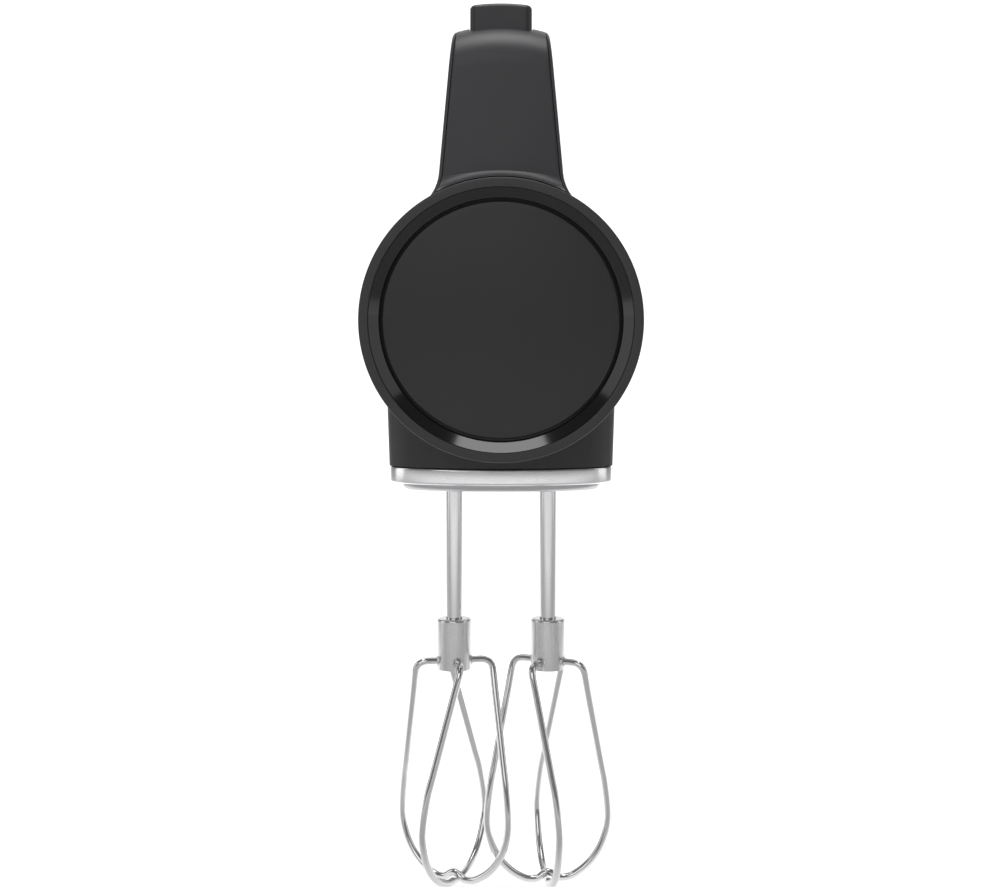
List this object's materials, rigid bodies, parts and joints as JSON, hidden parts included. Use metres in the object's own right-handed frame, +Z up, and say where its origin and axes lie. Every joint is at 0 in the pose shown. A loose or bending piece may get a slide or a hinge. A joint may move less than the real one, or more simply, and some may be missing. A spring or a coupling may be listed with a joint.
{
  "type": "hand mixer",
  "caption": "Cordless electric hand mixer with a round nose, stem and level grip, two wire beaters that counter-rotate, eject button, speed slider and slide-out battery.",
  "frame": {"origin": "middle of the grip, on the middle plane", "axes": "+Z up, away from the beaters; -Y towards the round nose; +X to the right seen from the nose"},
  "size_m": [0.0904, 0.205, 0.2951],
  "materials": {
    "matte_black": "fine satin texture",
    "trim_black": "satin",
    "gloss_black": "gloss",
    "disc_grey": "satin",
    "soft_rubber": "matte",
    "polished_steel": "polished",
    "satin_steel": "satin",
    "silver_paint": "satin",
    "nylon": "satin",
    "bush_brass": "sintered",
    "board_green": "satin",
    "component_grey": "satin",
    "magnet": "matte",
    "copper": "bare",
    "carbon": "matte",
    "laminate": "matte",
    "wire_red": "matte",
    "cell_wrap": "gloss",
    "lens": "clear",
    "frame_grey": "satin"
  },
  "bodies": {
    "housing": {"housing_left": "matte_black", "housing_right": "matte_black", "handle_cover": "trim_black", "grip_pad": "soft_rubber", "nose_ring": "matte_black", "nose_bevel": "gloss_black", "nose_disc": "disc_grey", "control_board": "board_green", "board_parts": "component_grey", "base_band": "polished_steel", "base_plate": "silver_paint", "base_screws": "satin_steel", "heel_ring": "soft_rubber", "housing_screws": "satin_steel", "gear_frame": "frame_grey", "gear_cover": "frame_grey", "frame_screws": "satin_steel", "spindle_bushes": "bush_brass", "worm_bearing": "bush_brass", "motor_can": "satin_steel", "motor_end_cap": "component_grey", "motor_magnets": "magnet", "motor_brushes": "carbon", "motor_mounts": "soft_rubber", "wiring": "wire_red", "contact_block": "component_grey", "contact_blades": "copper", "eject_guide": "frame_grey", "eject_spring": "satin_steel", "speed_switch": "component_grey", "status_lens": "lens"},
    "rotor": {"motor_shaft": "satin_steel", "armature_core": "laminate", "armature_windings": "copper", "commutator": "copper", "cooling_fan": "component_grey", "worm": "satin_steel"},
    "eject": {"eject_button": "matte_black", "eject_fork": "nylon"},
    "speed": {"speed_knob": "gloss_black", "speed_carriage": "nylon"},
    "battery": {"battery_case": "matte_black", "battery_cap": "matte_black", "battery_cells": "cell_wrap"},
    "latch": {"battery_latch": "gloss_black"},
    "drive_left": {"spindle_left": "satin_steel", "worm_wheel_left": "nylon"},
    "pin_left": {"eject_pin_left": "satin_steel"},
    "beater_left": {"beater_shaft_left": "polished_steel", "beater_sleeve_left": "polished_steel", "beater_wire_low_left": "polished_steel", "beater_wire_over_left": "polished_steel"},
    "drive_right": {"spindle_right": "satin_steel", "worm_wheel_right": "nylon"},
    "pin_right": {"eject_pin_right": "satin_steel"},
    "beater_right": {"beater_shaft_right": "polished_steel", "beater_sleeve_right": "polished_steel", "beater_wire_low_right": "polished_steel", "beater_wire_over_right": "polished_steel"}
  },
  "joints": [
    {"name": "left_beater_spin", "type": "hinge", "parent": "housing", "child": "drive_left", "pos_m": [-0.016, -0.055, -0.1009], "axis": [0, 0, 1], "continuous": true},
    {"name": "right_beater_spin", "type": "hinge", "parent": "housing", "child": "drive_right", "pos_m": [0.016, -0.055, -0.1009], "axis": [0, 0, 1], "continuous": true},
    {"name": "motor_spin", "type": "hinge", "parent": "housing", "child": "rotor", "pos_m": [0, -0.035, -0.1009], "axis": [0, 1, 0], "continuous": true},
    {"name": "eject_press", "type": "slide", "parent": "housing", "child": "eject", "axis": [0, 0, -1], "range_m": [0, 0.006], "stiffness_N_per_m": 900, "springref_m": -0.003, "deforming": ["eject_spring"]},
    {"name": "eject_pin_left_slide", "type": "slide", "parent": "drive_left", "child": "pin_left", "axis": [0, 0, -1], "range_m": [0, 0.006]},
    {"name": "beater_left_pull", "type": "slide", "parent": "pin_left", "child": "beater_left", "axis": [0, 0, -1], "range_m": [0, 0.06]},
    {"name": "eject_pin_right_slide", "type": "slide", "parent": "drive_right", "child": "pin_right", "axis": [0, 0, -1], "range_m": [0, 0.006]},
    {"name": "beater_right_pull", "type": "slide", "parent": "pin_right", "child": "beater_right", "axis": [0, 0, -1], "range_m": [0, 0.06]},
    {"name": "speed_slide", "type": "slide", "parent": "housing", "child": "speed", "axis": [0, 1, 0], "range_m": [0, 0.018]},
    {"name": "battery_slide", "type": "slide", "parent": "housing", "child": "battery", "axis": [0, 1, 0], "range_m": [0, 0.08]},
    {"name": "latch_press", "type": "slide", "parent": "battery", "child": "latch", "axis": [0, 0, -1], "range_m": [0, 0.003], "stiffness_N_per_m": 900, "springref_m": -0.002}
  ],
  "couplings": [
    {"joint": "right_beater_spin", "follows": "left_beater_spin", "ratio": -1},
    {"joint": "motor_spin", "follows": "left_beater_spin", "ratio": -12},
    {"joint": "eject_pin_left_slide", "follows": "eject_press", "ratio": 1},
    {"joint": "eject_pin_right_slide", "follows": "eject_press", "ratio": 1},
    {"joint": "beater_right_pull", "follows": "beater_left_pull", "ratio": 1}
  ]
}
